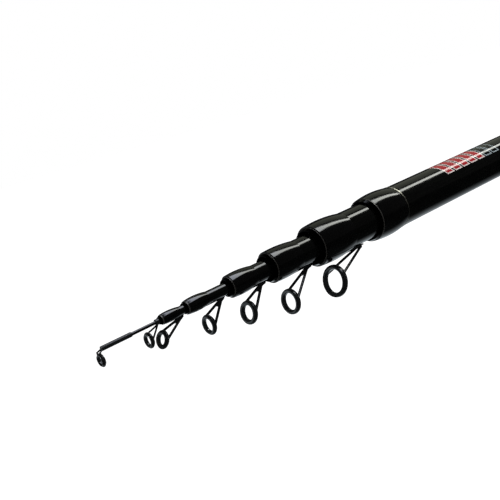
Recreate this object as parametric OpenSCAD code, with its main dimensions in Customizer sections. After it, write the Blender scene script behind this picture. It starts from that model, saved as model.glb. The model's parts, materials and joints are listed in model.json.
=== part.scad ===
// Telescopic fishing rod, closed up for carrying.
// X runs along the rod from the butt end towards the tip, Z is up, and the line guides hang below.
// A list of sizes runs from the butt towards the tip.

/* [Butt section] */
// Butt end to the mouth of the butt section
butt_mouth_x = 570; // [520:1:760]
// Outside diameter of the butt section at its mouth
butt_mouth_d = 20; // [19:0.1:21]
// Outside diameter of the butt section at its rear end
butt_rear_d = 22; // [21.2:0.1:23]
// Wall of the butt section
butt_wall = 1; // [0.8:0.05:1.2]

/* [Drawn sections] */
// Outside diameters at the front: five hollow sections, then the tip
front_d = [16.9, 12.2, 8, 4.9, 3.4, 1.33]; // [1.2:0.01:17.6]
// Walls of the five hollow sections
section_wall = [1, 0.8, 0.65, 0.5, 0.45]; // [0.35:0.05:1.1]
// How far each front end stands ahead of the mouth it comes out of
section_reach = [36.5, 25.3, 21.2, 20.6, 11.2, 24]; // [10:0.1:45]
// Length that stays inside the next larger section when drawn out
section_overlap = [60, 55, 50, 45, 40, 35]; // [25:1:80]
// Turn of each section in its mouth, from a guide straight below
section_turn = [10, 5, -5, -12, -10, 5]; // [-20:1:20]
// Turn of the floating guide, from a guide straight below
float_turn = -10; // [-20:1:20]
// Radial gap between two sections at a drawn joint
joint_clearance = 0.05; // [0.03:0.01:0.1]
// Gap between the closed sections and the cushion behind them
rest_gap = 0.3; // [0.1:0.1:1]
// Radial gap that glue fills between pieces fixed together
glue_gap = 0.02; // [0.01:0.01:0.05]

/* [Mouth wraps] */
// Mouth to the rear edge of the wrap: the butt, then the five hollow sections
wrap_back = [20, 21.8, 16.8, 14.1, 10.9, 9]; // [8:0.1:30]
// Mouth to the crest of the wrap
wrap_crest = [10.6, 9.8, 6.8, 6.3, 5.6, 4.5]; // [4:0.1:15]
// Height of the crest over the section
wrap_swell = [0.9, 1.14, 0.86, 0.86, 0.61, 0.5]; // [0.4:0.01:1.3]
// Height of the rear edge over the section
wrap_edge = 0.12; // [0.05:0.01:0.2]
// Sloping bare end ahead of each wrap
nose_len = [1.6, 1.6, 1.4, 1.2, 1, 0.9]; // [0.8:0.1:4]
// Share of the wall that is left at the sloping end
lip_share = 0.35; // [0.2:0.05:0.6]
// Width of a trim ring
trim_w = 0.5; // [0.3:0.05:0.8]
// Height of a trim ring over the section
trim_h = 0.2; // [0.1:0.05:0.3]

/* [Line guides] */
// Outside diameters of the rings: five section guides, the floating guide, the tip guide
ring_d = [14.4, 11, 9.9, 8.3, 7.1, 6.2, 5.1]; // [5:0.1:16]
// Width of each ring from its outside to its bore
ring_w = [2.1, 1.9, 2, 1.7, 1.7, 1.4, 1.15]; // [1.2:0.05:2.5]
// Thickness of each ceramic ring along its bore
ring_thick = [2.6, 2.4, 2.2, 1.9, 1.8, 1.6, 1.5]; // [1.3:0.1:3]
// Clear height between what carries a ring and its near edge
ring_gap = [1.3, 4.55, 3.95, 4, 2.1, 1.15, 0.1]; // [0.05:0.05:6]
// Lean of each ring, lower edge towards the tip
ring_lean = [14, 8, 12, 2, 24, 3, 0]; // [0:1:30]
// Rear end of a guide's foot or sleeve to the middle of its ring, along the rod
guide_reach = [22, 16.5, 11.4, 8.8, 10.6, 8.4]; // [4.2:0.1:26]
// Gap between the foot and the mouth behind it
foot_gap = [7.3, 1.7, 1.5, 1.5, 0.6]; // [0.3:0.1:9]
// Rear end of the foot to where the stem parts into two legs, along the rod
stem_len = [1.6, 3.2, 2.6, 1.8, 1.3]; // [1:0.1:8]
// Depth of that place under the section
stem_depth = [0.85, 1.3, 1.2, 1.15, 0.95]; // [0.7:0.05:3]
// Widths of the feet
foot_w = [4, 3.2, 2.6, 1.8, 1.3]; // [1:0.1:4]
// Thickness of the feet
foot_t = [0.5, 0.45, 0.4, 0.3, 0.25]; // [0.2:0.05:0.5]
// End of a foot to the mouth ahead of it
foot_inset = 3.5; // [2.5:0.1:5]
// Thickness of the legs: five section guides, the floating guide, the tip guide
leg_d = [1.2, 1.2, 1.2, 1.1, 1, 0.7, 0.6]; // [0.5:0.05:1.4]
// Half the distance between the legs where they leave the stem
leg_part = [1.3, 0.5, 0.35, 0.35, 0.3]; // [0.2:0.05:1.4]
// Angles at which the legs meet the rings, from the near edge
leg_angle = [67, 74, 72, 74, 72, 72, 45]; // [25:1:84]
// Radial width of the metal bezel round a ceramic ring
bezel_w = 0.55; // [0.4:0.05:0.6]
// Height of the rounding over the bezel's outside
bezel_crown = 0.22; // [0.15:0.01:0.3]
// Length by which the ceramic stands out of its bezel, both ends together
bezel_inset = 0.7; // [0.3:0.1:1]
// Share of the drawn tip over which the floating guide stays behind
float_share = 0.33; // [0.25:0.01:0.36]
// Length of the floating guide's sleeve
float_sleeve_len = 4.4; // [4:0.1:5]
// Wall of the floating guide's sleeve
float_sleeve_wall = 0.2; // [0.15:0.01:0.25]
// Depth of that sleeve in the mouth behind it
float_sink = 3; // [1:0.1:3.2]
// Length of the tube that holds the tip guide
tip_tube_len = 12.2; // [8:0.1:16]
// Wall of that tube
tip_tube_wall = 0.24; // [0.15:0.01:0.4]
// Middle of the tip guide's ring ahead of that tube
tip_ring_ahead = 1.3; // [1:0.1:3]
// Bend of the tip guide's wires ahead of that tube
tip_bend_ahead = 1.3; // [1:0.1:3]
// Half the distance between the wires at the bend
tip_bend_part = 1.2; // [1:0.05:1.8]
// Depth of the bend under the rod's axis
tip_bend_depth = 0.85; // [0.5:0.05:1.5]

/* [Handle] */
// Length of the butt cap behind the butt section
cap_len = 15; // [10:0.5:20]
// Diameter of the butt cap
cap_d = 24; // [22:0.1:25]
// Rounding of the butt cap's rear edge
cap_round = 2; // [1:0.1:3]
// Scallops round the butt cap
cap_scallops = 12; // [8:1:18]
// Width of the cutter that makes a scallop
scallop_d = 4; // [3:0.1:5]
// Depth of a scallop
scallop_depth = 1; // [0.5:0.1:1.2]
// Length of the threaded bush glued into the butt section
bush_len = 14; // [10:0.5:20]
// Bore of the threaded bush
bush_bore_d = 16.9; // [16:0.1:17.5]
// Radial gap between the cap's screw and the bush
screw_clearance = 0.08; // [0.05:0.01:0.1]
// Pitch of the cap's screw
cap_pitch = 1.5; // [1:0.25:2]
// Depth of the cap's screw thread
cap_thread_depth = 0.3; // [0.2:0.05:0.4]
// Thickness of the cushion that the closed sections rest on
cushion_t = 4; // [2:0.5:8]
// Thickness of the rubber seal under the cap's rim
seal_d = 1.4; // [1:0.1:1.6]
// Length of the rear grip
rear_grip_len = 103; // [80:1:140]
// Diameter of the grips
grip_d = 26; // [26:0.1:30]
// Rounding of the grips' ends
grip_round = 1.5; // [0.5:0.1:1.8]
// Length of the fore grip
fore_grip_len = 66; // [40:1:90]
// Diameter of the fore grip's front end
fore_grip_front_d = 23.4; // [22.8:0.1:25]
// Chamfer of the fore grip's ends
fore_grip_round = 0.5; // [0.3:0.05:0.8]
// Length of the metal check ring ahead of the fore grip
check_len = 4; // [3:0.1:6]
// Radial width of the check ring
check_w = 0.9; // [0.6:0.1:1.2]
// Chamfer of the check ring's edges
check_round = 0.3; // [0.1:0.05:0.4]
// Gap between neighbours on the handle
handle_gap = 0.3; // [0.1:0.1:0.5]

/* [Reel seat] */
// Length of the reel seat
seat_len = 114; // [104:1:130]
// Diameter of the reel seat
seat_d = 24.6; // [24.2:0.1:25.2]
// Height of the flat under the seat, from the rod's axis
seat_flat = 11.5; // [11.4:0.05:11.8]
// Pitch of the seat's thread
thread_pitch = 3; // [2:0.5:4]
// Depth of the seat's thread
thread_depth = 0.4; // [0.2:0.05:0.5]
// Width of the keyway along the top of the seat
key_w = 3; // [2:0.1:4]
// Depth of that keyway
key_depth = 0.7; // [0.4:0.05:0.8]
// Length of each hood
hood_len = 20; // [16:0.5:24]
// Radial width of the hoods round the seat
hood_w = 1.6; // [1.2:0.1:2.4]
// Depth of each hood's pocket along the rod
pocket_depth = 12; // [8:0.5:14]
// Width of each hood's pocket
pocket_w = 15; // [12:0.5:17]
// Height of each hood's pocket under the flat
pocket_h = 4.8; // [4.4:0.1:6]
// Wall of the hoods round the pocket
hood_wall = 2; // [1.5:0.1:3]
// Rounding of the hoods' lower corners
hood_corner = 4; // [3:0.1:5]
// Radial gap between the seat and what slides or turns on it
seat_clearance = 0.1; // [0.05:0.01:0.15]
// Front end of the seat to the lock nut when open
nut_margin = 7.7; // [4:0.1:12]
// Travel of the sliding hood
hood_travel = 24; // [16:0.5:30]
// Length of the lock nut
nut_len = 14; // [10:0.5:18]
// Radial width of the lock nut round the seat
nut_w = 2.1; // [1.6:0.1:3]
// Chamfer of the lock nut's edges
nut_round = 1; // [0.5:0.1:1.5]
// Grooves round the lock nut
nut_grooves = 20; // [12:1:28]
// Width of the cutter that makes a groove
nut_groove_d = 1.6; // [1:0.1:2]
// Depth of a groove
nut_groove_depth = 0.4; // [0.2:0.05:0.6]

/* [Hidden] */
$fn = 64;
shallow_arc_fn = 720;
lacquer = "#0b0c0b";
wrap_black = "#101110";
trim_gold = "#8f8a74";
gunmetal = "#24272a";
ceramic_grey = "#3b4045";
foam_black = "#1c1c1d";
seat_black = "#141516";
metal_grey = "#6d7074";
rubber_black = "#19191a";
// Length by which a cut runs past what it cuts
spill = 1;

// The tip is the last drawn section, and the ones before it are hollow
tip = len(front_d);
hollow = [1:tip - 1];

function pick(butt, list, i) = i == 0 ? butt : list[i - 1];
function front_r(i) = pick(butt_mouth_d, front_d, i) / 2;
function wall(i) = pick(butt_wall, section_wall, i);
function bore_r(i) = front_r(i) - wall(i);
function mouth_x(i) = i == 0 ? butt_mouth_x : mouth_x(i - 1) + section_reach[i - 1];
function nose_x(i) = mouth_x(i) - nose_len[i];

butt_rear_x = cap_len;
bush_front_x = butt_rear_x + bush_len;
cushion_x = bush_front_x;
rest_x = cushion_x + cushion_t + rest_gap;

// Rear end, and where the straight front of each section starts
function rear_x(i) = i == 0 ? butt_rear_x : rest_x;
function straight_x(i) = i == 0 ? butt_mouth_x - wrap_back[0] - 2 * trim_w : mouth_x(i - 1);
// The joint land at the rear of a drawn section has the taper of the bore that it fits
function land(i) = pick(0, section_overlap, i);
function land_x(i) = rear_x(i) + land(i);
function land_r(i) = i == 0 ? butt_rear_d / 2 : bore_r(i - 1) - joint_clearance;
function rear_r(i) = i == 0 ? butt_rear_d / 2 : land_r(i) + land_slope(i) * land(i);
function taper(i) = (land_r(i) - front_r(i)) / (straight_x(i) - land_x(i));
// A drawn land reaches past the straight front of the bore by what is left of its length
function straight_bore(i) = mouth_x(i) - straight_x(i);
function land_slope(i) = taper(i - 1) * max(0, land(i) - straight_bore(i - 1)) / land(i);
function section_r(i, x) = front_r(i) + taper(i) * max(0, straight_x(i) - x);

// Wraps: one arc from the rear edge over the crest to the nose
function crest_x(i) = mouth_x(i) - wrap_crest[i];
function crest_r(i) = front_r(i) + wrap_swell[i];
function wrap_rear_x(i) = mouth_x(i) - wrap_back[i];
function wrap_front_x(i) = nose_x(i) - trim_w;
function wrap_rise(i) = wrap_swell[i] - wrap_edge;
function wrap_run(i) = wrap_back[i] - wrap_crest[i];
function wrap_arc_r(i) = (wrap_run(i) ^ 2 + wrap_rise(i) ^ 2) / (2 * wrap_rise(i));
function nose_drop(i) = wall(i) * (1 - lip_share);

// Guides: number g runs over the five section guides, the floating guide and the tip guide
float_guide = tip;
tip_guide = tip + 1;
function ring_r(g) = ring_d[g - 1] / 2;
function seat_r(g) = ring_r(g) - bezel_w;
function ceramic_r(g) = seat_r(g) - glue_gap;
function bore_of_ring(g) = ring_r(g) - ring_w[g - 1];
function lean(g) = ring_lean[g - 1];
function foot_x(g) = mouth_x(g - 1) + (g == float_guide ? -float_sink : foot_gap[g - 1]);
function foot_top(g) = front_r(g) + glue_gap;
function foot_end_x(g) = mouth_x(g) - foot_inset;
function carrier_r(g) = g == float_guide ? float_r : g == tip_guide ? tip_tube_r : crest_r(g);
function ring_drop(g) = carrier_r(g) + ring_gap[g - 1] + ring_r(g) * cos(lean(g));
function ring_x(g) = g == tip_guide ? mouth_x(tip) + tip_ring_ahead : foot_x(g) + guide_reach[g - 1];
function turn_of(g) = g == float_guide ? float_turn : section_turn[min(g, tip) - 1];
// A point in the middle of a bezel's wall, at an angle from its near edge
function bezel_r(g) = ring_r(g) - bezel_w / 2;
function rim_point(g, angle) = [
  ring_x(g) - bezel_r(g) * cos(angle) * sin(lean(g)),
  bezel_r(g) * sin(angle),
  -ring_drop(g) + bezel_r(g) * cos(angle) * cos(lean(g))
];

// The floating guide stays behind by its share of the drawn length, up the taper of the tip
draw = [for (i = [1:tip]) mouth_x(i - 1) - section_overlap[i - 1] - rest_x];
float_back = float_share * draw[tip - 1];
float_bore_r = section_r(tip, foot_x(float_guide) - float_back) + joint_clearance;
float_r = float_bore_r + float_sleeve_wall;
tip_tube_r = front_r(tip) + glue_gap + tip_tube_wall;

// Handle, from the butt forward
rear_grip_x = cap_len + handle_gap;
seat_x = rear_grip_x + rear_grip_len + handle_gap;
fore_grip_x = seat_x + seat_len + handle_gap;
check_x = fore_grip_x + fore_grip_len + handle_gap;
fixed_hood_x = seat_x;
nut_x = seat_x + seat_len - nut_margin - nut_len;
sliding_hood_x = nut_x - handle_gap - hood_len;
slide_r = seat_d / 2 + seat_clearance;
hood_floor = seat_flat + pocket_h;
screw_r = bush_bore_d / 2 - screw_clearance;
thread_x = nut_x - hood_travel - thread_pitch;
// A stem is thicker than its legs, a knot where wires meet is thicker than the wire,
// and the knot on a foot sits this share of the stem's thickness under the foot's top
stem_share = 1.1;
knot_share = 1.1;
knot_depth = 0.65;
// A ceramic ring's thickness is two rounded lips and a straight bore, all of one length
lip_parts = 3;

function numbered(name) = [for (i = hollow) str(name, "_", i + 1)];

// Outlines are drawn as radius across and place along the rod upwards, then turned about the rod's axis
module lathe() {
  rotate([0, 90, 0]) rotate_extrude() children();
}

// Crests and roots of a thread that starts at x, as points of an outline
function thread_points(r, x, length, pitch, depth) = [
  for (k = [1:floor(length / pitch)], p = [[1, 0], [0.5, depth]])
    [r - p[1], x + (k - p[0]) * pitch]
];

module along_rod(x, length) {
  translate([x, 0, 0]) rotate([90, 0, 90]) linear_extrude(length) children();
}

module band(r_in, r_out, x, length) {
  translate([r_in, x]) square([r_out - r_in, length]);
}

module wire(from, to, d) {
  v = to - from;
  translate(from) rotate([0, acos(v.z / norm(v)), atan2(v.y, v.x)]) cylinder(d = d, h = norm(v));
}

// A hollow section: joint land, long taper and straight front with a sloping end
module tube(i) {
  lathe() polygon([
    [rear_r(i), rear_x(i)],
    [land_r(i), land_x(i)],
    [front_r(i), straight_x(i)],
    [front_r(i), nose_x(i)],
    [front_r(i) - nose_drop(i), mouth_x(i)],
    [bore_r(i), mouth_x(i)],
    [bore_r(i), straight_x(i)],
    [land_r(i) - wall(i), land_x(i)],
    [rear_r(i) - wall(i), rear_x(i)]
  ]);
}

module wrap(i) {
  lathe() intersection() {
    band(front_r(i) + glue_gap, crest_r(i) + spill, wrap_rear_x(i), wrap_front_x(i) - wrap_rear_x(i));
    translate([crest_r(i) - wrap_arc_r(i), crest_x(i)])
      circle(r = wrap_arc_r(i), $fn = shallow_arc_fn);
  }
}

module trim(i, x) {
  lathe() band(front_r(i) + glue_gap, front_r(i) + trim_h, x, trim_w);
}

module foot(g) {
  w = foot_w[g - 1];
  t = foot_t[g - 1];
  translate([foot_x(g), -w / 2, -foot_top(g) - t]) cube([foot_end_x(g) - foot_x(g), w, t]);
}

// Clears a wrap for the foot, from the rod's axis outwards
module foot_slot(g) {
  w = foot_w[g - 1] + 2 * glue_gap;
  h = foot_top(g) + foot_t[g - 1] + glue_gap;
  translate([foot_x(g), -w / 2, -h]) cube([foot_end_x(g) - foot_x(g) + glue_gap, w, h]);
}

// The stem runs from the rear end of the foot down to the two points where the legs part
function parting(g, side) = [
  foot_x(g) + stem_len[g - 1],
  side * leg_part[g - 1],
  -front_r(g) - stem_depth[g - 1]
];

module stem(g, spare) {
  d = leg_d[g - 1] * stem_share;
  start = [foot_x(g) + d / 2, 0, -foot_top(g) - d * knot_depth];
  translate(start) sphere(d = d * knot_share + 2 * spare);
  for (side = [-1, 1]) {
    wire(start, parting(g, side), d + 2 * spare);
    translate(parting(g, side)) sphere(d = d * knot_share + 2 * spare);
  }
}

module in_ring(g) {
  translate([ring_x(g), 0, -ring_drop(g)]) rotate([0, 90 - lean(g), 0]) children();
}

// A bezel: a ring with a crowned outside
module bezel(g) {
  height = ring_thick[g - 1] - bezel_inset;
  crown_r = ((height / 2) ^ 2 + bezel_crown ^ 2) / (2 * bezel_crown);
  in_ring(g) rotate_extrude() intersection() {
    band(seat_r(g), ring_r(g) + spill, -height / 2, height);
    translate([ring_r(g) - crown_r, 0]) circle(r = crown_r);
  }
}

module leg(g, side, from) {
  wire(from, rim_point(g, side * leg_angle[g - 1]), leg_d[g - 1]);
}

// Clears the seat of the ceramic ring right through its frame
module ring_seat(g) {
  depth = ring_thick[g - 1] + 2 * glue_gap;
  in_ring(g) translate([0, 0, -depth / 2]) cylinder(r = seat_r(g), h = depth);
}

// A ceramic ring: straight bore between two lips that one arc rounds
module ceramic(g) {
  thick = ring_thick[g - 1];
  bore = bore_of_ring(g);
  lip = thick / lip_parts;
  half_bore = lip / 2;
  arc_x = (lip ^ 2 + (thick / 2) ^ 2 - half_bore ^ 2) / (2 * lip);
  arc_r = sqrt(arc_x ^ 2 + half_bore ^ 2);
  in_ring(g) rotate_extrude() intersection() {
    band(bore, ceramic_r(g), -thick / 2, thick);
    union() {
      translate([bore + arc_x, 0]) circle(r = arc_r);
      band(bore + arc_x, ring_r(g), -thick, 2 * thick);
    }
  }
}

// The cap screws into the butt: a scalloped head and a screw with its thread
module butt_cap() {
  head_x = cap_len - handle_gap;
  root_r = screw_r - cap_thread_depth;
  screw_end = cap_len + bush_len;
  scallop_r = cap_d / 2 + scallop_d / 2 - scallop_depth;
  thread = thread_points(screw_r, cap_len, bush_len, cap_pitch, cap_thread_depth);
  color(metal_grey) difference() {
    lathe() {
      band(0, cap_d / 2 - cap_round, 0, head_x);
      band(0, cap_d / 2, cap_round, head_x - cap_round);
      translate([cap_d / 2 - cap_round, cap_round]) circle(r = cap_round);
      polygon(concat([[0, 0], [screw_r, 0]], thread, [[root_r, screw_end], [0, screw_end]]));
    }
    lathe() translate([screw_r, head_x]) circle(d = seal_d + 2 * glue_gap);
    for (k = [1:cap_scallops])
      rotate([k * 360 / cap_scallops, 0, 0]) translate([cap_round, 0, scallop_r])
        rotate([0, 90, 0]) cylinder(d = scallop_d, h = cap_len);
  }
}

module cap_seal() {
  color(rubber_black) lathe() intersection() {
    translate([screw_r, cap_len - handle_gap]) circle(d = seal_d);
    band(0, cap_d, 0, cap_len - handle_gap / 2);
  }
}

module cap_cushion() {
  color(rubber_black) lathe() band(0, screw_r, cushion_x, cushion_t);
}

module threaded_bush() {
  bush_r = section_r(0, bush_front_x) - butt_wall - glue_gap;
  color(metal_grey) lathe() band(bush_bore_d / 2, bush_r, butt_rear_x, bush_len);
}

module butt_section() {
  color(lacquer) tube(0);
}

module butt_wrap() {
  color(wrap_black) wrap(0);
}

module butt_trim_rings() {
  color(trim_gold) {
    trim(0, wrap_front_x(0));
    trim(0, wrap_rear_x(0) - trim_w);
  }
}

// A sleeve on the butt section: straight or tapered outside, straight bore that fits at its rear end
function sleeve_bore(x) = section_r(0, x) + glue_gap;

module sleeve_outline(x, length, rear, front, round_r) {
  polygon([
    [sleeve_bore(x), x],
    [rear - round_r, x],
    [rear, x + round_r],
    [front, x + length - round_r],
    [front - round_r, x + length],
    [sleeve_bore(x), x + length]
  ]);
}

module rear_grip() {
  r = grip_d / 2;
  color(foam_black) lathe() sleeve_outline(rear_grip_x, rear_grip_len, r, r, grip_round);
}

module fore_grip() {
  rear = grip_d / 2;
  front = fore_grip_front_d / 2;
  color(foam_black) lathe() sleeve_outline(fore_grip_x, fore_grip_len, rear, front, fore_grip_round);
}

module check_ring() {
  outer = section_r(0, check_x) + check_w;
  color(metal_grey) lathe() sleeve_outline(check_x, check_len, outer, outer, check_round);
}

// The reel seat: threaded front part, flat below for the reel's foot, keyway on top
module reel_seat() {
  r = seat_d / 2;
  end_x = seat_x + seat_len;
  thread = thread_points(r, thread_x, end_x - thread_x, thread_pitch, thread_depth);
  inner = [[sleeve_bore(seat_x), end_x], [sleeve_bore(seat_x), seat_x]];
  color(seat_black) difference() {
    lathe() polygon(concat([[r, seat_x]], thread, [[r - thread_depth, end_x]], inner));
    translate([seat_x - spill, 0, 0]) {
      translate([0, -r, -seat_flat - r]) cube([seat_len + 2 * spill, 2 * r, r]);
      translate([0, -key_w / 2, r - key_depth]) cube([seat_len + 2 * spill, key_w, r]);
    }
  }
}

// Outline of a hood across the rod, with a round part on the seat and a squarer pocket below
module hood_outline() {
  half = pocket_w / 2 + hood_wall;
  low = hood_floor + hood_wall;
  circle(r = slide_r + hood_w);
  translate([-half, -low + hood_corner]) square([2 * half, low - hood_corner]);
  translate([-half + hood_corner, -low]) square([2 * half - 2 * hood_corner, low]);
  for (side = [-1, 1])
    translate([side * (half - hood_corner), -low + hood_corner]) circle(r = hood_corner);
}

// A hood whose pocket opens forward or, with opens = -1, rearward
module hood(x, opens) {
  key = key_w - 2 * seat_clearance;
  key_low = seat_d / 2 - key_depth + seat_clearance;
  pocket_x = opens > 0 ? x + hood_len - pocket_depth : x - spill;
  difference() {
    along_rod(x, hood_len) hood_outline();
    along_rod(x - spill, hood_len + 2 * spill) difference() {
      circle(r = slide_r);
      translate([-key / 2, key_low]) square([key, key_depth + spill]);
    }
    translate([pocket_x, -pocket_w / 2, -hood_floor])
      cube([pocket_depth + spill, pocket_w, pocket_h + spill]);
  }
}

module fixed_hood() {
  color(seat_black) hood(fixed_hood_x, 1);
}

module sliding_hood() {
  color(seat_black) hood(sliding_hood_x, -1);
}

module lock_nut() {
  r = slide_r + nut_w;
  end_x = nut_x + nut_len;
  groove_r = r + nut_groove_d / 2 - nut_groove_depth;
  color(metal_grey) difference() {
    lathe() polygon([
      [slide_r, nut_x],
      [r - nut_round, nut_x],
      [r, nut_x + nut_round],
      [r, end_x - nut_round],
      [r - nut_round, end_x],
      [slide_r, end_x]
    ]);
    for (k = [1:nut_grooves])
      rotate([k * 360 / nut_grooves, 0, 0]) translate([nut_x - spill, 0, groove_r])
        rotate([0, 90, 0]) cylinder(d = nut_groove_d, h = nut_len + 2 * spill);
  }
}

module section(i) {
  color(lacquer) tube(i);
}

module mouth_wrap(i) {
  color(wrap_black) difference() {
    wrap(i);
    rotate([turn_of(i), 0, 0]) {
      foot_slot(i);
      stem(i, glue_gap);
    }
  }
}

module trim_ring(i) {
  color(trim_gold) trim(i, wrap_front_x(i));
}

module guide_frame(g) {
  color(gunmetal) rotate([turn_of(g), 0, 0]) difference() {
    union() {
      foot(g);
      stem(g, 0);
      for (side = [-1, 1])
        leg(g, side, parting(g, side));
      bezel(g);
    }
    ring_seat(g);
  }
}

module guide_ring(g) {
  color(ceramic_grey) rotate([turn_of(g), 0, 0]) ceramic(g);
}

module floating_guide_frame() {
  g = float_guide;
  start = [foot_x(g) + float_sleeve_len - leg_d[g - 1], 0, -float_r];
  color(gunmetal) rotate([turn_of(g), 0, 0]) difference() {
    union() {
      lathe() band(float_bore_r, float_r, foot_x(g), float_sleeve_len);
      translate(start) sphere(d = leg_d[g - 1] * knot_share);
      for (side = [-1, 1])
        leg(g, side, start);
      bezel(g);
    }
    ring_seat(g);
    lathe() band(0, float_bore_r, foot_x(g) - spill, float_sleeve_len + 2 * spill);
  }
}

module floating_guide_ring() {
  color(ceramic_grey) rotate([turn_of(float_guide), 0, 0]) ceramic(float_guide);
}

module tip_section() {
  front_x = mouth_x(tip) - tip_tube_wall - glue_gap;
  color(lacquer) lathe() polygon([
    [0, rear_x(tip)],
    [rear_r(tip), rear_x(tip)],
    [land_r(tip), land_x(tip)],
    [front_r(tip), straight_x(tip)],
    [front_r(tip), front_x],
    [0, front_x]
  ]);
}

// The tip guide: a tube over the tip, two bent wires and the bezel they hold
module tip_guide_frame() {
  g = tip_guide;
  d = leg_d[g - 1];
  end_x = mouth_x(tip);
  color(gunmetal) rotate([turn_of(g), 0, 0]) difference() {
    union() {
      lathe() band(0, tip_tube_r, end_x - tip_tube_len, tip_tube_len);
      bezel(g);
      for (side = [-1, 1]) {
        start = [end_x - d, side * tip_tube_r / 2, 0];
        bend = [end_x + tip_bend_ahead, side * tip_bend_part, -tip_bend_depth];
        wire(start, bend, d);
        translate(bend) sphere(d = d * knot_share);
        leg(g, side, bend);
      }
    }
    lathe() band(
      0, front_r(tip) + glue_gap, end_x - tip_tube_len - spill, tip_tube_len + spill - tip_tube_wall
    );
    ring_seat(g);
  }
}

module tip_guide_ring() {
  color(ceramic_grey) rotate([turn_of(tip_guide), 0, 0]) ceramic(tip_guide);
}

butt_cap();
cap_seal();
cap_cushion();
threaded_bush();
butt_section();
rear_grip();
reel_seat();
fixed_hood();
sliding_hood();
lock_nut();
fore_grip();
check_ring();
butt_wrap();
butt_trim_rings();
for (i = hollow) {
  section(i);
  mouth_wrap(i);
  trim_ring(i);
  guide_frame(i);
  guide_ring(i);
}
floating_guide_frame();
floating_guide_ring();
tip_section();
tip_guide_frame();
tip_guide_ring();
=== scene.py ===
import json
import math

import bpy
from mathutils import Matrix, Vector


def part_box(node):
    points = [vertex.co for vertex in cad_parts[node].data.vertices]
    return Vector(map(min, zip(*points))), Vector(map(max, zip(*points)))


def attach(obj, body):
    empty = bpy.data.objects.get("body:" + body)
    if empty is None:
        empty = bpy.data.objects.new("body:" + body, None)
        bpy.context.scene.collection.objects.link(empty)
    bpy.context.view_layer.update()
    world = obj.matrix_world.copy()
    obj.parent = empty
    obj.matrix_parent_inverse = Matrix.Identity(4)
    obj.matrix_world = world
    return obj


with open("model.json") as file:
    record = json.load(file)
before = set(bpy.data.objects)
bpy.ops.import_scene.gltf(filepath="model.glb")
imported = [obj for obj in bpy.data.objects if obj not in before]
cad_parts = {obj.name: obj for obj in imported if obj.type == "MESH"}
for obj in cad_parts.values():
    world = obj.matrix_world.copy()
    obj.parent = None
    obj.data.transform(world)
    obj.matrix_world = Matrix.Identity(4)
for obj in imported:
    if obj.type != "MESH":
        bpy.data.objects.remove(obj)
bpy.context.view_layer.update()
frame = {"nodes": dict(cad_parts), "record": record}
nodes = frame["nodes"]
MM = 0.001
ALONG = Vector((1, 0, 0))

# Camera, fitted to the photograph's frame of 500 by 500
CAMERA_AT = Vector((0.7990, 0.2180, 0.0679))
CAMERA_LOOK = Vector((-0.5840, -0.7845, -0.2084))
CAMERA_UP = Vector((-0.3361, 0.0, 0.9418))
CAMERA_CLIP = (0.01, 200)
FOCAL_PIXELS = 700
FRAME_PIXELS = 500
SENSOR_MM = 36

# Floor: plain and pale. In reflections it is dark before the rod and grows lighter behind it. Along the rod
# that light rises over BOUNCE_RISE_X and falls over BOUNCE_FALL_X.
FLOOR_Z = -0.6
FLOOR_SIZE = 40
FLOOR_COLOUR = 0.8
FLOOR_LIFT = 0.75
BOUNCE_COLOUR = (0.90, 1.0, 1.06, 1.0)
BOUNCE_Y = (-0.55, 0.12)
BOUNCE_STRENGTH = (0.45, 0.008)
BOUNCE_RISE_X = (-0.42, 0.05)
BOUNCE_RISE_GAIN = (1.0, 2.9)
BOUNCE_FALL_X = (0.2, 0.6)
BOUNCE_FALL_GAIN = (1.0, 0.3)

# World: white to the camera, even to matt surfaces, dim in reflections
WORLD_SEEN = 1.0
WORLD_AMBIENT = 0.5
WORLD_MIRRORED = 0.03

# Key light: a long strip above the rod that widens towards the tip, as (place along the rod, width).
# It is brighter and warmer at the rear, and the change goes over KEY_CHANGE_X.
KEY_Y = 0.084
KEY_Z = 0.70
KEY_STATIONS = ((-0.80, 0.13), (-0.30, 0.16), (0.05, 0.22), (0.20, 0.45), (0.42, 0.84))
KEY_CHANGE_X = (0.0, 0.42)
KEY_RADIANCE = (7.3, 5.8)
KEY_COLOURS = ((1.0, 1.02, 0.95, 1.0), (0.92, 0.97, 1.12, 1.0))

# Fill light: a wide dim panel behind and above the rod
FILL_AT = Vector((-0.32, -0.42, 0.60))
FILL_TOWARDS = Vector((0.30, 0.0, 0.0))
FILL_SIZE = (1.4, 0.6)
FILL_RADIANCE = 0.27
FILL_COLOUR = (0.95, 1.0, 0.80)


def grey(value):
    return (value, value, value, 1.0)


WHITE = grey(1.0)

# Black lacquer over a carbon blank, whose fibres run along the rod and show faintly
LACQUER_IOR = 1.45
LACQUER_TONES = ((0.0006, 0.0007, 0.0006, 1), (0.0020, 0.0022, 0.0018, 1))
LACQUER_WEAR = {"base": 0.11, "spread": 0.015, "scale": 90.0}
FIBRE_STRETCH = (0.03, 1.0, 1.0)
FIBRE_SCALE = 2500.0
FIBRE_DETAIL = 2.0
FIBRE_RANGE = (0.35, 0.7)

# Sections whose sloping front end mirrors almost nothing, painted shade that keeps it black, and how long
# that end is
PAINTED_SHADE_END_MM = {
    "butt_section": 1.6, "section_2": 1.6, "section_3": 1.4,
    "section_4": 1.2, "section_5": 1.0, "section_6": 0.9,
}

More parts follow.
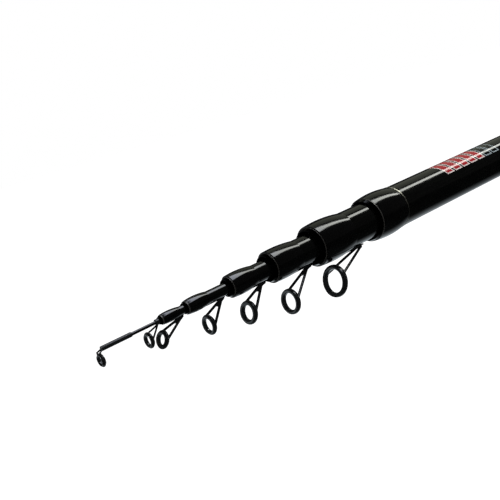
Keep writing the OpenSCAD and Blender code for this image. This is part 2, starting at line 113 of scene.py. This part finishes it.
# Decoration on the butt: slanted bars round its upper near side, red ones with a pale edge and then black
# ones with a grey edge
DECORATED = "butt_section"
DECOR_FRONT_X = 0.5155
DECOR_RADIUS_MM = 10.0
DECOR_MIDDLE = math.radians(66)
DECOR_HALF_MM = 5.6
DECOR_SLANT = 0.3
BAR_PITCH_MM = 6.9
BAR_HALF_MM = 2.85
BAR_EDGE_MM = 0.65
BAR_SOFT_MM = 0.05
RED_BARS = 5
ALL_BARS = 7
DECOR_REDS = ((0.30, 0.010, 0.016, 1), (0.40, 0.03, 0.035, 1))
DECOR_RED_SCALE = 400.0
DECOR_PALE = (0.72, 0.62, 0.58, 1)
DECOR_GREY = (0.30, 0.35, 0.36, 1)

# Thread wraps: fine windings under the same lacquer
WINDING_PITCH_MM = 0.28
WINDING_TONES = (grey(0.0006), grey(0.0020))
WINDING_BUMP = {"strength": 0.05, "distance": 0.02 * MM}
WRAP_WEAR = {"base": 0.10, "spread": 0.015, "scale": 90.0}

# Trim lines: only the one behind the butt's wrap is bright metal, and the ones at the creases are dull
BRIGHT_BEFORE_X = 0.560
BRIGHT_TRIM = (0.50, 0.49, 0.41, 1)
DULL_TRIM = (0.062, 0.060, 0.055, 1)
BRIGHT_METALLIC = 1.0
DULL_METALLIC = 0.5
TRIM_WEAR = {"base": 0.38, "spread": 0.06, "scale": 400.0}

# Foam grips: closed cells that are smoother towards their walls
FOAM_SPECULAR = 0.25
FOAM_TONES = (grey(0.018), grey(0.032))
FOAM_TONE_SCALE = 60.0
FOAM_TONE_DETAIL = 4.0
FOAM_CELL_SCALE = 1700.0
FOAM_CELL_RANGE = (0.0, 0.6)
FOAM_ROUGHNESS = (0.95, 0.75)
FOAM_BUMP = {"strength": 0.6, "distance": 0.2 * MM}

# Turned metal: fine rings round the rod's axis
TURNED_STRETCH = (1.0, 0.01, 0.01)
TURNED_SCALE = 6000.0
TURNED_DETAIL = 2.0
TURNED_BUMP = {"strength": 0.12, "distance": 0.1 * MM}
TURNED_WEAR = {"base": 0.32, "spread": 0.06, "scale": 250.0}
TURNED_TONES = {
    "nut_metal": ((0.05, 0.052, 0.054, 1), (0.08, 0.083, 0.086, 1)),
    "cap_metal": ((0.045, 0.047, 0.05, 1), (0.075, 0.078, 0.082, 1)),
}

# Materials of two close tones in a fine mottle, some with a grain on the surface
MOTTLED = {
    "guide_metal": {
        "tones": ((0.006, 0.0066, 0.007, 1), (0.011, 0.012, 0.0126, 1)),
        "scale": 700.0, "detail": 4.0,
        "worn": {"base": 0.25, "spread": 0.04, "scale": 500.0},
        "grain_scale": 2500.0, "grain": {"strength": 0.05, "distance": 0.1 * MM},
        "Specular_IOR_Level": 0.35,
    },
    "guide_ceramic": {
        "tones": ((0.008, 0.0095, 0.0105, 1), (0.015, 0.017, 0.018, 1)),
        "scale": 1200.0, "detail": 3.0,
        "worn": {"base": 0.10, "spread": 0.02, "scale": 600.0},
        "IOR": 1.9,
    },
    "seat_plastic": {
        "tones": (grey(0.008), grey(0.014)),
        "scale": 150.0, "detail": 4.0,
        "worn": {"base": 0.38, "spread": 0.06, "scale": 300.0},
        "grain_scale": 3000.0, "grain": {"strength": 0.15, "distance": 0.1 * MM},
        "IOR": 1.48,
    },
    "seal_rubber": {
        "tones": (grey(0.012), grey(0.022)),
        "scale": 300.0, "detail": 3.0,
        "worn": {"base": 0.7, "spread": 0.08, "scale": 500.0},
    },
}
GRAIN_DETAIL = 2.0

# How roughness changes over every surface that has wear
WEAR_DETAIL = 4.0
WEAR_ROUGHNESS = 0.6
WEAR_RANGE = (0.3, 0.7)

# Solder webs where the legs of guides 3 to 6 part, in mm: the middle between the two legs where they part and
# where they meet the ring, as (along the rod, out from its axis), half the distance between the legs at these
# places, and the share of the legs that the web fills
WEBS = {
    3: ((611.4, 7.4), (624.5, 15.53), (0.5, 5.02), 0.29),
    4: ((635.9, 5.2), (644.4, 12.24), (0.35, 4.45), 0.36),
    5: ((656.3, 3.6), (663.26, 10.14), (0.35, 3.72), 0.38),
    6: ((675.5, 2.65), (684.39, 6.62), (0.3, 3.11), 0.38),
}
WEB_THICK_MM = 0.8
WEB_ROUND_MM = 0.12
WEB_ROUND_STEPS = 2
WEB_HOLLOW = 0.25
WEB_STEPS = 8


def linked(name, data):
    """A new object in the scene."""
    made = bpy.data.objects.new(name, data)
    bpy.context.scene.collection.objects.link(made)
    return made


def aim(thing, at, right, back):
    """Puts a camera or lamp at a point. It then looks against back, with right on its right hand."""
    turn = Matrix((right, back.cross(right), back)).transposed()
    thing.matrix_world = Matrix.Translation(at) @ turn.to_4x4()


def make_camera():
    data = bpy.data.cameras.new("camera")
    data.sensor_fit = "HORIZONTAL"
    data.sensor_width = SENSOR_MM
    data.lens = SENSOR_MM * FOCAL_PIXELS / FRAME_PIXELS
    data.clip_start, data.clip_end = CAMERA_CLIP
    camera = linked("camera", data)
    back = -CAMERA_LOOK.normalized()
    aim(camera, CAMERA_AT, CAMERA_UP.cross(back).normalized(), back)
    bpy.context.scene.camera = camera


class Tree:
    """A short way to write a material's or the world's nodes."""

    def __init__(self, tree):
        self.tree = tree
        tree.nodes.clear()

    def node(self, kind, inputs=None, **settings):
        made = self.tree.nodes.new(kind)
        for key, value in settings.items():
            setattr(made, key, value)
        for key, value in (inputs or {}).items():
            self.plug(value, made.inputs[key])
        return made

    def plug(self, value, socket):
        if isinstance(value, bpy.types.NodeSocket):
            self.tree.links.new(value, socket)
        else:
            socket.default_value = value

    def math(self, operation, *values):
        made = self.node("ShaderNodeMath", operation=operation)
        for value, socket in zip(values, made.inputs):
            self.plug(value, socket)
        return made.outputs[0]

    def mix(self, share, a, b):
        made = self.node("ShaderNodeMix", data_type="RGBA")
        self.plug(share, made.inputs["Factor"])
        self.plug(a, made.inputs["A"])
        self.plug(b, made.inputs["B"])
        return made.outputs["Result"]

    def place(self):
        """The point in the row frame at rest, in metres, as a vector and as separate X, Y and Z."""
        point = self.node("ShaderNodeTexCoord").outputs["Object"]
        return point, self.node("ShaderNodeSeparateXYZ", {"Vector": point}).outputs

    def stretched(self, point, scale):
        return self.node("ShaderNodeVectorMath", {0: point, 1: scale}, operation="MULTIPLY").outputs[0]

    def noise(self, point, scale, detail=3.0, roughness=0.5):
        inputs = {"Vector": point, "Scale": scale, "Detail": detail, "Roughness": roughness}
        return self.node("ShaderNodeTexNoise", inputs).outputs["Fac"]

    def ramp(self, value, low, high, to_low=0.0, to_high=1.0, kind="SMOOTHSTEP"):
        inputs = {"Value": value, "From Min": low, "From Max": high, "To Min": to_low, "To Max": to_high}
        return self.node("ShaderNodeMapRange", inputs, interpolation_type=kind).outputs["Result"]

    def bump(self, height, strength, distance):
        inputs = {"Height": height, "Strength": strength, "Distance": distance}
        return self.node("ShaderNodeBump", inputs).outputs["Normal"]

    def light(self, kind, colour, strength):
        return self.node(kind, {"Color": colour, "Strength": strength}).outputs[0]

    def mix_shaders(self, share, a, b):
        return self.node("ShaderNodeMixShader", {0: share, 1: a, 2: b}).outputs[0]

    def show(self, shader, output="ShaderNodeOutputMaterial"):
        self.plug(shader, self.node(output).inputs["Surface"])


def principled(name, **constants):
    """A material with a Principled shader whose even values are set on its own sockets."""
    made = bpy.data.materials.new(name)
    made.use_nodes = True
    tree = Tree(made.node_tree)
    shader = tree.node("ShaderNodeBsdfPrincipled")
    for key, value in constants.items():
        shader.inputs[key.replace("_", " ")].default_value = value
    tree.show(shader.outputs["BSDF"])
    return made, tree, shader.inputs


def wear(tree, point, inputs, base, spread, scale):
    """Roughness that changes a little over the surface."""
    value = tree.noise(point, scale, WEAR_DETAIL, WEAR_ROUGHNESS)
    tree.plug(tree.ramp(value, *WEAR_RANGE, base - spread, base + spread), inputs["Roughness"])


def fibred_black(tree, point):
    """Black with faint fibres along the rod."""
    fibres = tree.noise(tree.stretched(point, FIBRE_STRETCH), FIBRE_SCALE, FIBRE_DETAIL)
    return tree.mix(tree.ramp(fibres, *FIBRE_RANGE), *LACQUER_TONES)


def bars_over(tree, point, axes, black):
    """The butt's bars on the black."""
    angle = tree.math("ARCTAN2", axes["Z"], axes["Y"])
    across = tree.math("MULTIPLY", tree.math("SUBTRACT", angle, DECOR_MIDDLE), DECOR_RADIUS_MM)
    along = tree.math("DIVIDE", tree.math("SUBTRACT", DECOR_FRONT_X, axes["X"]), MM)
    bars = tree.math("DIVIDE", tree.math("MULTIPLY_ADD", across, DECOR_SLANT, along), BAR_PITCH_MM)
    # How far the point lies within the edges of the bar that is nearest, in mm
    off_bar = tree.math("ABSOLUTE", tree.math("SUBTRACT", tree.math("FRACT", bars), 0.5))
    side = tree.math("SUBTRACT", tree.math("MULTIPLY", off_bar, BAR_PITCH_MM), BAR_HALF_MM)
    end = tree.math("SUBTRACT", tree.math("ABSOLUTE", across), DECOR_HALF_MM)
    depth = tree.math("MULTIPLY", tree.math("MAXIMUM", side, end), -1.0)
    after_first = tree.math("GREATER_THAN", bars, 0.0)
    before_last = tree.math("LESS_THAN", bars, ALL_BARS)
    within = tree.math("MULTIPLY", after_first, before_last)
    shape = tree.math("MULTIPLY", within, tree.ramp(depth, -BAR_SOFT_MM, BAR_SOFT_MM))
    inside = tree.ramp(depth, BAR_EDGE_MM - BAR_SOFT_MM, BAR_EDGE_MM + BAR_SOFT_MM)
    red = tree.mix(inside, DECOR_PALE, tree.mix(tree.noise(point, DECOR_RED_SCALE), *DECOR_REDS))
    outlined = tree.mix(inside, DECOR_GREY, black)
    bar = tree.mix(tree.math("LESS_THAN", bars, RED_BARS), outlined, red)
    return tree.mix(shape, black, bar)


def lacquer(name, node=None):
    """Black lacquer. A node's front end has Metallic at 1 over the near-black colour, so that it mirrors
    almost nothing: painted shade.
    """
    made, tree, inputs = principled(name, IOR=LACQUER_IOR)
    point, axes = tree.place()
    colour = fibred_black(tree, point)
    if node == DECORATED:
        colour = bars_over(tree, point, axes, colour)
    tree.plug(colour, inputs["Base Color"])
    wear(tree, point, inputs, **LACQUER_WEAR)
    # Painted shade: the front end becomes a near-black mirror that shows almost no reflection
    if node:
        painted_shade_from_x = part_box(node)[1][0] - PAINTED_SHADE_END_MM[node] * MM
        tree.plug(tree.math("GREATER_THAN", axes["X"], painted_shade_from_x), inputs["Metallic"])
    return made


def wrap_lacquer():
    made, tree, inputs = principled("wrap_lacquer", IOR=LACQUER_IOR)
    point, axes = tree.place()
    turns = tree.math("MULTIPLY", axes["X"], 2 * math.pi / (WINDING_PITCH_MM * MM))
    windings = tree.math("SINE", turns)
    tree.plug(tree.mix(tree.ramp(windings, -1, 1), *WINDING_TONES), inputs["Base Color"])
    wear(tree, point, inputs, **WRAP_WEAR)
    tree.plug(tree.bump(windings, **WINDING_BUMP), inputs["Normal"])
    return made


def trim_metal():
    made, tree, inputs = principled("trim_metal")
    point, axes = tree.place()
    bright = tree.math("LESS_THAN", axes["X"], BRIGHT_BEFORE_X)
    tree.plug(tree.mix(bright, DULL_TRIM, BRIGHT_TRIM), inputs["Base Color"])
    tree.plug(tree.ramp(bright, 0, 1, DULL_METALLIC, BRIGHT_METALLIC), inputs["Metallic"])
    wear(tree, point, inputs, **TRIM_WEAR)
    return made


def grip_foam():
    made, tree, inputs = principled("grip_foam", Specular_IOR_Level=FOAM_SPECULAR)
    point, _ = tree.place()
    voronoi = tree.node("ShaderNodeTexVoronoi", {"Vector": point, "Scale": FOAM_CELL_SCALE})
    cells = voronoi.outputs["Distance"]
    tone = tree.noise(point, FOAM_TONE_SCALE, FOAM_TONE_DETAIL)
    tree.plug(tree.mix(tone, *FOAM_TONES), inputs["Base Color"])
    tree.plug(tree.ramp(cells, *FOAM_CELL_RANGE, *FOAM_ROUGHNESS), inputs["Roughness"])
    tree.plug(tree.bump(cells, **FOAM_BUMP), inputs["Normal"])
    return made


def turned_metal(name, tones):
    made, tree, inputs = principled(name, Metallic=1.0)
    point, _ = tree.place()
    rings = tree.noise(tree.stretched(point, TURNED_STRETCH), TURNED_SCALE, TURNED_DETAIL)
    tree.plug(tree.mix(rings, *tones), inputs["Base Color"])
    wear(tree, point, inputs, **TURNED_WEAR)
    tree.plug(tree.bump(rings, **TURNED_BUMP), inputs["Normal"])
    return made


def mottled(name, tones, scale, detail, worn, grain_scale=None, grain=None, **constants):
    made, tree, inputs = principled(name, **constants)
    point, _ = tree.place()
    tree.plug(tree.mix(tree.noise(point, scale, detail), *tones), inputs["Base Color"])
    wear(tree, point, inputs, **worn)
    if grain:
        tree.plug(tree.bump(tree.noise(point, grain_scale, GRAIN_DETAIL), **grain), inputs["Normal"])
    return made


# A material for each of the record's slots, and one of its own for each section whose front end is painted
# shade
MATERIALS = {
    "blank_lacquer": lacquer("blank_lacquer"),
    "wrap_lacquer": wrap_lacquer(),
    "trim_metal": trim_metal(),
    "grip_foam": grip_foam(),
    **{name: turned_metal(name, tones) for name, tones in TURNED_TONES.items()},
    **{name: mottled(name, **values) for name, values in MOTTLED.items()},
}
OWN_MATERIALS = {node: lacquer(f"{node}_lacquer", node) for node in PAINTED_SHADE_END_MM}


def dress_nodes():
    for part in frame["record"]["subparts"]:
        name = part["node"]
        mesh = nodes[name].data
        mesh.materials.clear()
        mesh.materials.append(OWN_MATERIALS.get(name, MATERIALS[part["material_slot"]]))


def mesh_object(name, points, faces, material):
    mesh = bpy.data.meshes.new(name)
    mesh.from_pydata(points, [], faces)
    mesh.materials.append(material)
    return linked(name, mesh)


def make_web(number, start, end, halves, share):
    """A thin plate with a hollow front edge. Its sides lie on the middle lines of the two legs."""
    low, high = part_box(f"guide_ring_{number}")
    out = Vector((0, low[1] + high[1], low[2] + high[2])).normalized()
    side = ALONG.cross(out)
    run = ALONG * (end[0] - start[0]) + out * (end[1] - start[1])
    origin = ALONG * start[0] + out * start[1]
    half = side.cross(run).normalized() * WEB_THICK_MM / 2
    front = halves[0] + share * (halves[1] - halves[0])
    outline = [origin - side * halves[0], origin + side * halves[0]]
    for k in range(WEB_STEPS + 1):
        across = 1 - 2 * k / WEB_STEPS
        reach = share * (1 - WEB_HOLLOW * (1 - across ** 2))
        outline.append(origin + run * reach + side * across * front)
    count = len(outline)
    points = [(point + offset) * MM for offset in (half, -half) for point in outline]
    faces = [tuple(range(count)), tuple(range(2 * count - 1, count - 1, -1))]
    faces += [(k, k + count, (k + 1) % count + count, (k + 1) % count) for k in range(count)]
    web = mesh_object(f"guide_web_{number}", points, faces, MATERIALS["guide_metal"])
    rounding = web.modifiers.new("rounding", "BEVEL")
    rounding.width = WEB_ROUND_MM * MM
    rounding.segments = WEB_ROUND_STEPS
    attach(web, f"drawn_{number}")


def stage_mesh(name, points, faces):
    """A mesh of the studio with a new material, and that material's nodes."""
    material = bpy.data.materials.new(name)
    material.use_nodes = True
    made = mesh_object(name, points, faces, material)
    return made, Tree(material.node_tree)


def make_floor():
    half = FLOOR_SIZE / 2
    points = [(x * half, y * half, FLOOR_Z) for x, y in ((-1, -1), (1, -1), (1, 1), (-1, 1))]
    _, tree = stage_mesh("floor", points, [(0, 1, 2, 3)])
    rays = tree.node("ShaderNodeLightPath").outputs
    _, axes = tree.place()
    diffuse = tree.node("ShaderNodeBsdfDiffuse", {"Color": grey(FLOOR_COLOUR)}).outputs[0]
    lift = tree.light("ShaderNodeEmission", WHITE, FLOOR_LIFT)
    seen = tree.node("ShaderNodeAddShader", {0: diffuse, 1: lift}).outputs[0]
    bounce = tree.ramp(axes["Y"], *BOUNCE_Y, *BOUNCE_STRENGTH, "LINEAR")
    for stretch, gain in ((BOUNCE_RISE_X, BOUNCE_RISE_GAIN), (BOUNCE_FALL_X, BOUNCE_FALL_GAIN)):
        bounce = tree.math("MULTIPLY", bounce, tree.ramp(axes["X"], *stretch, *gain, "LINEAR"))
    mirrored = tree.light("ShaderNodeEmission", BOUNCE_COLOUR, bounce)
    by_camera = tree.mix_shaders(rays["Is Camera Ray"], diffuse, seen)
    tree.show(tree.mix_shaders(rays["Is Glossy Ray"], by_camera, mirrored))


def make_world():
    world = bpy.data.worlds.new("studio")
    bpy.context.scene.world = world
    world.use_nodes = True
    tree = Tree(world.node_tree)
    rays = tree.node("ShaderNodeLightPath").outputs
    ambient, mirrored, seen = (tree.light("ShaderNodeBackground", WHITE, strength)
                               for strength in (WORLD_AMBIENT, WORLD_MIRRORED, WORLD_SEEN))
    unseen = tree.mix_shaders(rays["Is Glossy Ray"], ambient, mirrored)
    tree.show(tree.mix_shaders(rays["Is Camera Ray"], unseen, seen), "ShaderNodeOutputWorld")


def make_key_light():
    points = []
    for x, width in KEY_STATIONS:
        points += [(x, KEY_Y - width / 2, KEY_Z), (x, KEY_Y + width / 2, KEY_Z)]
    faces = [(2 * k, 2 * k + 1, 2 * k + 3, 2 * k + 2) for k in range(len(KEY_STATIONS) - 1)]
    light, tree = stage_mesh("key_light", points, faces)
    light.visible_camera = False
    _, axes = tree.place()
    colour = tree.mix(tree.ramp(axes["X"], *KEY_CHANGE_X), *KEY_COLOURS)
    strength = tree.ramp(axes["X"], *KEY_CHANGE_X, *KEY_RADIANCE)
    tree.show(tree.light("ShaderNodeEmission", colour, strength))


def make_fill_light():
    data = bpy.data.lights.new("fill_light", "AREA")
    data.shape = "RECTANGLE"
    data.size, data.size_y = FILL_SIZE
    data.energy = FILL_RADIANCE * math.pi * FILL_SIZE[0] * FILL_SIZE[1]
    data.color = FILL_COLOUR
    light = linked("fill_light", data)
    back = (FILL_AT - FILL_TOWARDS).normalized()
    aim(light, FILL_AT, (ALONG - back * ALONG.dot(back)).normalized(), back)
    light.visible_camera = False


make_camera()
dress_nodes()
for number, values in WEBS.items():
    make_web(number, *values)
make_floor()
make_world()
make_key_light()
make_fill_light()

bpy.context.scene.view_settings.view_transform = "Standard"
